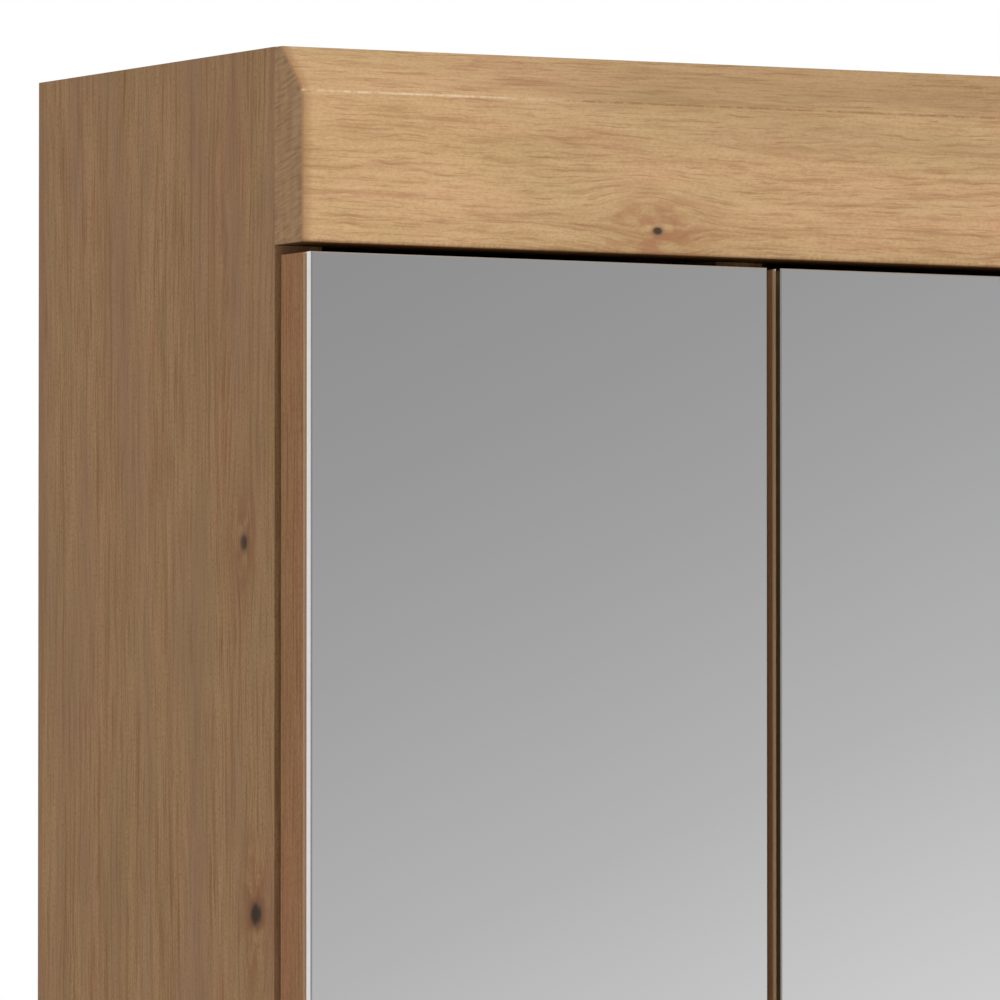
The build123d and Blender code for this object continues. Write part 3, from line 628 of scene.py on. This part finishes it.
for row in frame["record"]["subparts"]:
    mesh = NODES[row["node"]].data
    mesh.materials.clear()
    mesh.materials.append(finish_of(row["node"], row["material_slot"]))


# ---- new pieces ----------------------------------------------------------------------------------
def piece_from(bm, name, body, stands_for, materials):
    """A new mesh piece from a bmesh, riding on a body in place of a CAD node."""
    mesh = bpy.data.meshes.new(name)
    bm.to_mesh(mesh)
    bm.free()
    for material in materials:
        mesh.materials.append(material)
    piece = bpy.data.objects.new(name, mesh)
    bpy.context.scene.collection.objects.link(piece)
    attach(piece, body)
    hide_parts(stands_for)
    return piece


BOX_FACES = ((0, 1, 3, 2), (4, 6, 7, 5), (0, 4, 5, 1), (2, 3, 7, 6), (0, 2, 6, 4), (1, 5, 7, 3))


def slab(low, high):
    """A closed box as a bmesh."""
    bm = bmesh.new()
    corner = [bm.verts.new((x, y, z))
              for x in (low.x, high.x) for y in (low.y, high.y) for z in (low.z, high.z)]
    for face in BOX_FACES:
        bm.faces.new([corner[i] for i in face])
    bmesh.ops.recalc_face_normals(bm, faces=bm.faces)
    return bm


ARRIS = 0.0004
SAME_PLACE = 1e-6
SQUARE_ON = 0.99
FRONT_FINISH, EDGE_FINISH, BACK_FINISH, SHADED_EDGE_FINISH = range(4)
MIRROR_FINISHES = (MIRROR, GLASS_EDGE, GLASS_BACK, GLASS_EDGE_SHADED)
DOOR_BESIDE = {"left": (False, True), "centre": (True, True), "right": (True, False)}


def mirror_finish(normal, beside):
    """Which finish a face of a mirror has; beside says on which sides the next door is close, where the
    edge takes the darker copy with painted shade.
    """
    if normal.y < -SQUARE_ON:
        return FRONT_FINISH
    if normal.y > SQUARE_ON:
        return BACK_FINISH
    if abs(normal.x) > SQUARE_ON and beside[normal.x > 0]:
        return SHADED_EDGE_FINISH
    return EDGE_FINISH


def make_mirror(door):
    """A mirror with ground arrises: silvered face, ground edges, painted back, and a darker copy of the
    edge finish, painted shade, where an edge faces the next door.
    """
    low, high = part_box(f"door_mirror_{door}")
    bm = slab(low, high)
    edges = [e for e in bm.edges if all(abs(v.co.y - low.y) < SAME_PLACE for v in e.verts)]
    bmesh.ops.bevel(bm, geom=edges, offset=ARRIS, segments=1, affect="EDGES")
    for face in bm.faces:
        face.material_index = mirror_finish(face.normal, DOOR_BESIDE[door])
    return piece_from(bm, f"mirror_{door}", f"{door}_door", f"door_mirror_{door}",
                      MIRROR_FINISHES)


for door in DOORS:
    make_mirror(door)

# ---- floor, light and camera ---------------------------------------------------------------------
FLOOR_HALF = 200.0
FLOOR_STEPS = 8
FLOOR_GAP = 0.0006
FLOOR_CLOUD = 0.7
FLOOR_LOW, FLOOR_HIGH = (0.78, 0.78, 0.78), (0.82, 0.82, 0.82)
FLOOR_ROUGH = (0.75, 0.85)


def floor_build(t):
    cloud = t.object_noise(FLOOR_CLOUD, CLOUD_DETAIL)
    return {"Base Color": cloudy(t, cloud, FLOOR_LOW, FLOOR_HIGH),
            "Roughness": t.spread(cloud, *FLOOR_ROUGH)}


def make_floor():
    bm = bmesh.new()
    bmesh.ops.create_grid(bm, x_segments=FLOOR_STEPS, y_segments=FLOOR_STEPS, size=FLOOR_HALF)
    mesh = bpy.data.meshes.new("studio_floor")
    bm.to_mesh(mesh)
    bm.free()
    mesh.materials.append(surface("studio_floor", floor_build))
    floor = bpy.data.objects.new("studio_floor", mesh)
    floor.location.z = FLOOR_LEVEL - FLOOR_GAP
    bpy.context.scene.collection.objects.link(floor)


make_floor()

SEEN_WHITE = (1.0, 1.0, 1.0)
BACKDROP = 0.70
OVERHEAD = 0.30
# brightness in front of the mirrors by height, and how that height leans with the way sideways
FRONT_GLOW = [(-0.10, 0.86), (0.000, 0.738), (0.0173, 0.639), (0.0329, 0.476), (0.0475, 0.381),
              (0.0576, 0.331), (0.0684, 0.294), (0.095, 0.251), (0.16, 0.225), (0.30, 0.25)]
GLOW_LOW, GLOW_HIGH = -0.10, 0.30
GLOW_LEAN = (0.312, 0.612, -0.0818, 0.0818)
OVERHEAD_RISE = (0.25, 0.8, 0.0, 1.0)
BACKDROP_RISE = (-0.15, 0.25, 0.0, 1.0)


def make_world():
    """White to the camera; to everything else bright behind, with a gradient in front and dim above."""
    world = bpy.data.worlds.new("studio")
    bpy.context.scene.world = world
    world.use_nodes = True
    t = Tree(world.node_tree)
    direction = t.parts(t.coordinates("Generated"))
    level = t.math("SUBTRACT", direction[2], t.remap(direction[0], *GLOW_LEAN))
    level = t.remap(level, GLOW_LOW, GLOW_HIGH, 0.0, 1.0)
    front = t.ramp(level, [((z - GLOW_LOW) / (GLOW_HIGH - GLOW_LOW), grey)
                           for z, grey in FRONT_GLOW])
    up = t.remap(direction[2], *OVERHEAD_RISE, interpolation_type="SMOOTHSTEP")
    rear = t.remap(direction[1], *BACKDROP_RISE, interpolation_type="SMOOTHSTEP")
    around = t.mix(rear, front, (BACKDROP,) * 3)
    light = t.mix(up, around, (OVERHEAD,) * 3)
    seen = t.mix(t.add("LightPath").outputs["Is Camera Ray"], light, SEEN_WHITE)
    background = t.add("Background", {"Color": seen, "Strength": 1.0})
    t.tree.links.new(background.outputs[0], t.add("OutputWorld").inputs[0])


make_world()

KEY_DIRECTION = Vector((0.35, -0.85, 0.45))
KEY_STRENGTH = 2.1
KEY_SPREAD = math.radians(28.0)


def make_key_light():
    """A broad sun from the front and above, which the mirrors don't show."""
    lamp = bpy.data.lights.new("key_light", "SUN")
    lamp.energy = KEY_STRENGTH
    lamp.angle = KEY_SPREAD
    key = bpy.data.objects.new("key_light", lamp)
    key.rotation_euler = KEY_DIRECTION.to_track_quat("Z", "Y").to_euler()
    key.visible_glossy = False
    bpy.context.scene.collection.objects.link(key)


make_key_light()

VIEW_ANGLE = math.radians(30.04)        # how far round to the left the picture was taken from
LEFTWARD = 0.035289                     # the picture's middle, from straight along that angle
UPWARD = 0.057572
CAMERA_PLACE = (-3.103, -5.457, -0.091)
SENSOR_WIDTH = 36.0
FOCAL_LENGTH = 715.7
CLIP_NEAR, CLIP_FAR = 0.1, 1000.0


def make_camera():
    forward = Vector((math.sin(VIEW_ANGLE), math.cos(VIEW_ANGLE), 0.0))
    right = Vector((math.cos(VIEW_ANGLE), -math.sin(VIEW_ANGLE), 0.0))
    lens = bpy.data.cameras.new("camera")
    lens.sensor_width = SENSOR_WIDTH
    lens.lens = FOCAL_LENGTH
    lens.clip_start = CLIP_NEAR
    lens.clip_end = CLIP_FAR
    camera = bpy.data.objects.new("camera", lens)
    camera.location = CAMERA_PLACE
    gaze = forward - LEFTWARD * right + UPWARD * Vector((0.0, 0.0, 1.0))
    camera.rotation_mode = "QUATERNION"
    camera.rotation_quaternion = gaze.to_track_quat("-Z", "Y")
    bpy.context.scene.collection.objects.link(camera)
    bpy.context.scene.camera = camera


make_camera()
bpy.context.scene.view_settings.view_transform = "Standard"
